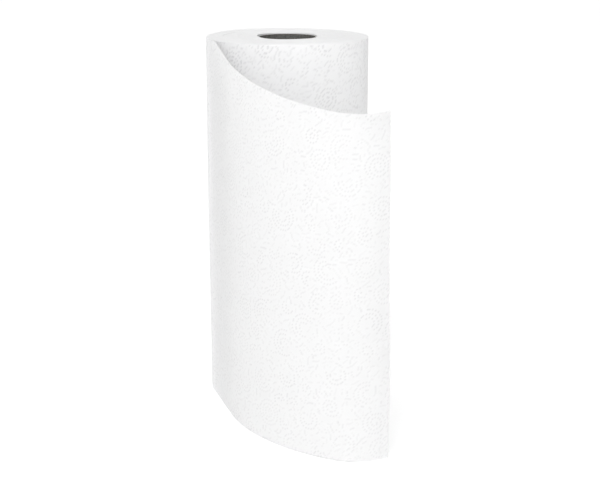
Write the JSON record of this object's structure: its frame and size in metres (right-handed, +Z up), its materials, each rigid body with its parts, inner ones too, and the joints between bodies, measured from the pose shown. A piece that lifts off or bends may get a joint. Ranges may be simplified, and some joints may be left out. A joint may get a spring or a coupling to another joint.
{
  "type": "paper towel roll",
  "caption": "Standing roll of white embossed kitchen paper on a card core, with its outer sheet peeled loose across the front.",
  "frame": {"origin": "on the roll's axis, at the surface that the roll stands on", "axes": "+Z up along the core, -Y towards the loose sheet, +X to the right of it"},
  "size_m": [0.1328, 0.216, 0.279],
  "materials": {
    "towel_paper": "matte, soft, embossed",
    "core_card": "matte, spiral wound"
  },
  "bodies": {
    "root": {"towel_web": "towel_paper", "core_tube": "core_card"}
  },
  "joints": []
}
